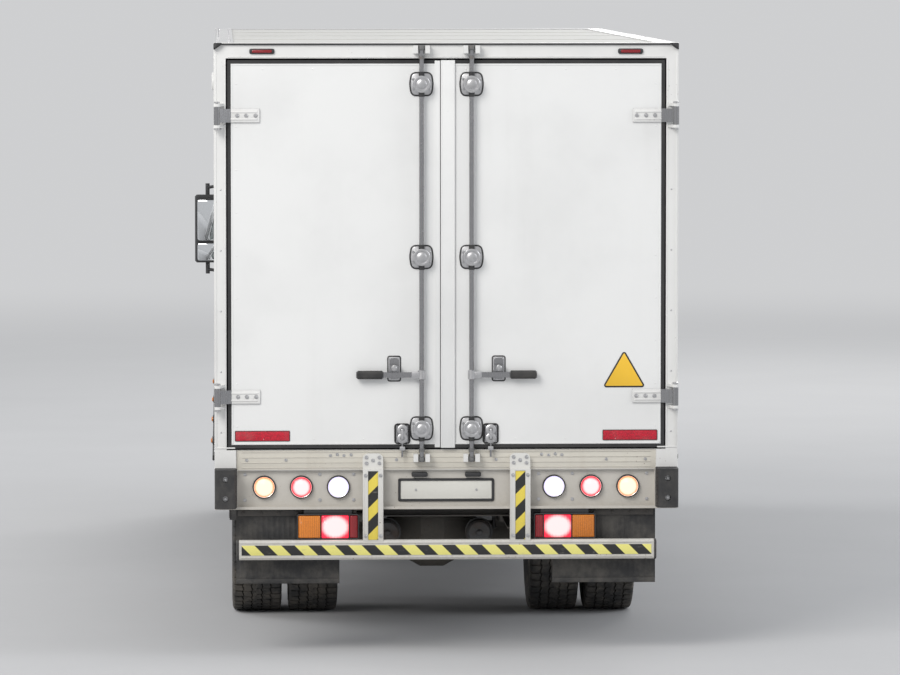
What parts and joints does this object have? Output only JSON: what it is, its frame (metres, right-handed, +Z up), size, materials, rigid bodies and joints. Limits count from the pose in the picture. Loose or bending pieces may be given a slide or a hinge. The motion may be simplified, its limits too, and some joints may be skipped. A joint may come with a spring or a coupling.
{
  "type": "refrigerated truck",
  "caption": "Box truck with an insulated body, hinged rear doors on lock rods, a front cooling unit, a tilting cab, steered front wheels and twin rear wheels.",
  "frame": {"origin": "on the ground, on the centre line, at the middle of the overall length", "axes": "+Y forward along the truck, +X to its right, +Z up"},
  "size_m": [2.9, 8.83, 3.44],
  "materials": {
    "white_panel": "white glass-fibre panel",
    "floor_panel": "ribbed aluminium floor",
    "aluminium_trim": "anodised cover strip",
    "white_steel": "white paint",
    "lamp_panel_paint": "white paint",
    "black_rubber": "black rubber",
    "lamp_lens": "red and clear lenses",
    "striped_steel": "white paint with striped bands",
    "galvanised_steel": "zinc-plated steel",
    "black_steel": "black chassis paint",
    "cast_metal": "cast iron",
    "tank_aluminium": "bare aluminium",
    "tyre": "black tyre rubber",
    "rim_steel": "silver paint",
    "cab_paint": "white paint",
    "bumper_plastic": "dark moulded plastic",
    "headlamp_lens": "clear lens",
    "glass": "tinted glass",
    "dark_plastic": "grained plastic",
    "seat_fabric": "woven cloth"
  },
  "bodies": {
    "chassis": {"box_floor": "floor_panel", "box_deck": "floor_panel", "box_right_wall": "white_panel", "box_left_wall": "white_panel", "box_roof": "white_panel", "box_front_wall": "white_panel", "box_trim": "aluminium_trim", "rear_frame": "white_steel", "lamp_panel": "lamp_panel_paint", "corner_buffers": "black_rubber", "rear_lamps": "lamp_lens", "underrun_bar": "striped_steel", "fridge_unit": "white_steel", "evaporator": "white_steel", "frame_rails": "black_steel", "cross_members": "black_steel", "frame_brackets": "black_steel", "subframe": "black_steel", "engine": "cast_metal", "radiator": "black_steel", "propshaft": "black_steel", "front_axle": "black_steel", "rear_axle": "black_steel", "fuel_tank": "tank_aluminium", "air_tanks": "tank_aluminium", "battery_box": "black_steel", "exhaust_silencer": "tank_aluminium", "side_guards": "tank_aluminium", "mudguards": "black_rubber", "front_bumper": "bumper_plastic", "headlamps": "headlamp_lens"},
    "cab": {"cab_shell": "cab_paint", "cab_glass": "glass", "grille": "bumper_plastic", "mirrors": "bumper_plastic", "dashboard": "dark_plastic", "seat_frames": "dark_plastic", "seats": "seat_fabric"},
    "track_rod": {"track_rod": "black_steel"},
    "rear_door_right": {"rear_door_right": "white_panel", "rear_door_right_seal": "black_rubber", "rear_door_right_hardware": "galvanised_steel"},
    "cab_door_right": {"cab_door_right": "cab_paint", "cab_door_right_glass": "glass"},
    "steering_knuckle_right": {"steering_knuckle_right": "black_steel"},
    "front_wheel_right": {"front_tyre_right": "tyre", "front_rim_right": "rim_steel"},
    "rear_wheels_right": {"rear_tyres_right": "tyre", "rear_rims_right": "rim_steel"},
    "rear_door_left": {"rear_door_left": "white_panel", "rear_door_left_seal": "black_rubber", "rear_door_left_hardware": "galvanised_steel"},
    "cab_door_left": {"cab_door_left": "cab_paint", "cab_door_left_glass": "glass"},
    "steering_knuckle_left": {"steering_knuckle_left": "black_steel"},
    "front_wheel_left": {"front_tyre_left": "tyre", "front_rim_left": "rim_steel"},
    "rear_wheels_left": {"rear_tyres_left": "tyre", "rear_rims_left": "rim_steel"}
  },
  "joints": [
    {"name": "rear_wheels_right_spin", "type": "hinge", "parent": "chassis", "child": "rear_wheels_right", "pos_m": [0.886, -2.075, 0.465], "axis": [1, 0, 0], "continuous": true},
    {"name": "rear_door_right_swing", "type": "hinge", "parent": "chassis", "child": "rear_door_right", "pos_m": [1.282, -4.385, 2.25], "axis": [0, 0, 1], "range_deg": [0, 260]},
    {"name": "rear_wheels_left_spin", "type": "hinge", "parent": "chassis", "child": "rear_wheels_left", "pos_m": [-0.886, -2.075, 0.465], "axis": [1, 0, 0], "continuous": true},
    {"name": "rear_door_left_swing", "type": "hinge", "parent": "chassis", "child": "rear_door_left", "pos_m": [-1.282, -4.385, 2.25], "axis": [0, 0, -1], "range_deg": [0, 260]},
    {"name": "steer_left", "type": "hinge", "parent": "chassis", "child": "steering_knuckle_left", "pos_m": [-0.86, 3.03, 0.465], "axis": [0, 0, 1], "range_deg": [-40, 40]},
    {"name": "steer_right", "type": "hinge", "parent": "chassis", "child": "steering_knuckle_right", "pos_m": [0.86, 3.03, 0.465], "axis": [0, 0, 1], "range_deg": [-40, 40]},
    {"name": "track_rod_turn", "type": "hinge", "parent": "steering_knuckle_left", "child": "track_rod", "pos_m": [-0.86, 2.83, 0.422], "axis": [0, 0, 1], "range_deg": [-40, 40]},
    {"name": "front_wheel_right_spin", "type": "hinge", "parent": "steering_knuckle_right", "child": "front_wheel_right", "pos_m": [1.01, 3.03, 0.465], "axis": [1, 0, 0], "continuous": true},
    {"name": "front_wheel_left_spin", "type": "hinge", "parent": "steering_knuckle_left", "child": "front_wheel_left", "pos_m": [-1.01, 3.03, 0.465], "axis": [1, 0, 0], "continuous": true},
    {"name": "cab_tilt", "type": "hinge", "parent": "chassis", "child": "cab", "pos_m": [0, 4.24, 0.8], "axis": [-1, 0, 0], "range_deg": [0, 50]},
    {"name": "cab_door_right_swing", "type": "hinge", "parent": "cab", "child": "cab_door_right", "pos_m": [1.16, 3.8965, 1.6], "axis": [0, 0, 1], "range_deg": [0, 70]},
    {"name": "cab_door_left_swing", "type": "hinge", "parent": "cab", "child": "cab_door_left", "pos_m": [-1.16, 3.8965, 1.6], "axis": [0, 0, -1], "range_deg": [0, 70]}
  ],
  "couplings": [
    {"joint": "steer_right", "follows": "steer_left", "ratio": 1},
    {"joint": "track_rod_turn", "follows": "steer_left", "ratio": -1}
  ]
}
